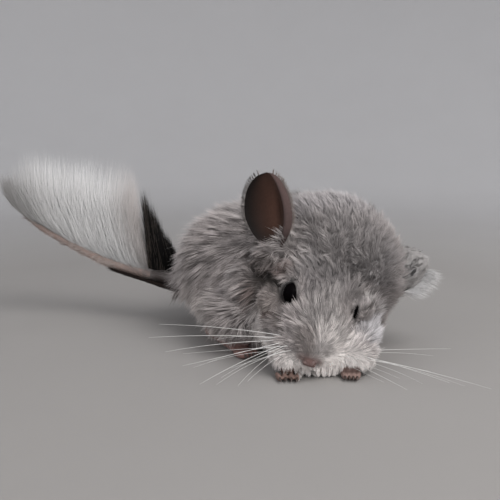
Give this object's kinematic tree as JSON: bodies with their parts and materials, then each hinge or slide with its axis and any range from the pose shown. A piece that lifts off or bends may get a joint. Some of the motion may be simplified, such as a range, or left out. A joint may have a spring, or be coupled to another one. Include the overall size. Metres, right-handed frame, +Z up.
{
  "type": "chinchilla model",
  "caption": "Still, life-size young chinchilla crouching with lowered, tilted head, one raised ear and a fanned tail held out to the side.",
  "frame": {"origin": "middle of the footprint, on the surface the animal crouches on", "axes": "+X to the right seen from the front, away from the tail; +Y from the head back over the rump; +Z up"},
  "size_m": [0.2245, 0.1208, 0.0927],
  "materials": {
    "coat": "soft dense grey fur, darker on the crown and paler on cheeks and belly",
    "tail_coat": "long coarse white hair with a black tuft at the root",
    "ear_skin": "thin matt brown skin with fine hair",
    "eye": "wet black gloss",
    "paw_skin": "matt pinkish brown skin with dark claws"
  },
  "bodies": {
    "root": {"head": "coat", "neck": "coat", "trunk": "coat", "thigh_left": "coat", "thigh_right": "coat", "tail_base": "tail_coat", "tail_middle": "tail_coat", "tail_tip": "tail_coat", "ear_left": "ear_skin", "ear_right": "ear_skin", "eye_left": "eye", "eye_right": "eye", "foreleg_left": "paw_skin", "foreleg_right": "paw_skin", "foot_hind_left": "paw_skin", "foot_hind_right": "paw_skin"}
  },
  "joints": []
}
